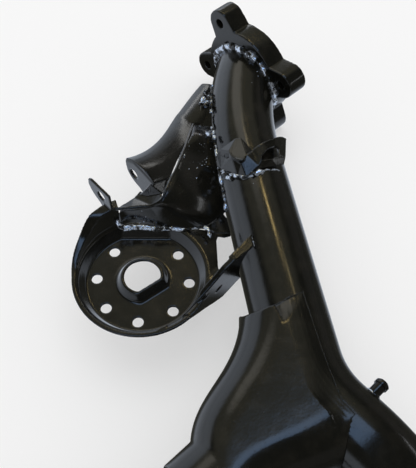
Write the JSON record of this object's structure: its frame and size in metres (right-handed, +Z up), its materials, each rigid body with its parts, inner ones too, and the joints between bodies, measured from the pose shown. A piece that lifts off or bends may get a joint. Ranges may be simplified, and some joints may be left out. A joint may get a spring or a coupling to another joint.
{
  "type": "rear axle",
  "caption": "Twist-beam rear axle of a small car: bent trailing arms with bushes, spring pans and damper brackets, joined by a pressed cross beam.",
  "frame": {"origin": "centre of the bounding box's bottom face: under the middle of the axle, on the level that it rests on", "axes": "+X to the car's left, along the axle; +Y to the car's rear; +Z up"},
  "size_m": [1.392, 0.5852, 0.136],
  "materials": {
    "black_paint": "glossy black dip paint over welded steel",
    "rubber": "matt black moulded rubber",
    "bare_steel": "bare turned steel"
  },
  "bodies": {
    "root": {"left_trailing_arm": "black_paint", "left_bush_eye": "black_paint", "left_bush_shell": "bare_steel", "left_bush_rubber": "rubber", "left_bush_sleeve": "bare_steel", "left_stub_axle_plate": "black_paint", "left_spring_pan": "black_paint", "left_damper_bracket": "black_paint", "left_pan_gusset": "black_paint", "left_line_bracket": "black_paint", "left_cable_stud": "black_paint", "left_beam_end": "black_paint", "right_trailing_arm": "black_paint", "right_bush_eye": "black_paint", "right_bush_shell": "bare_steel", "right_bush_rubber": "rubber", "right_bush_sleeve": "bare_steel", "right_stub_axle_plate": "black_paint", "right_spring_pan": "black_paint", "right_damper_bracket": "black_paint", "right_pan_gusset": "black_paint", "right_line_bracket": "black_paint", "right_cable_stud": "black_paint", "right_beam_end": "black_paint", "cross_beam": "black_paint"}
  },
  "joints": []
}
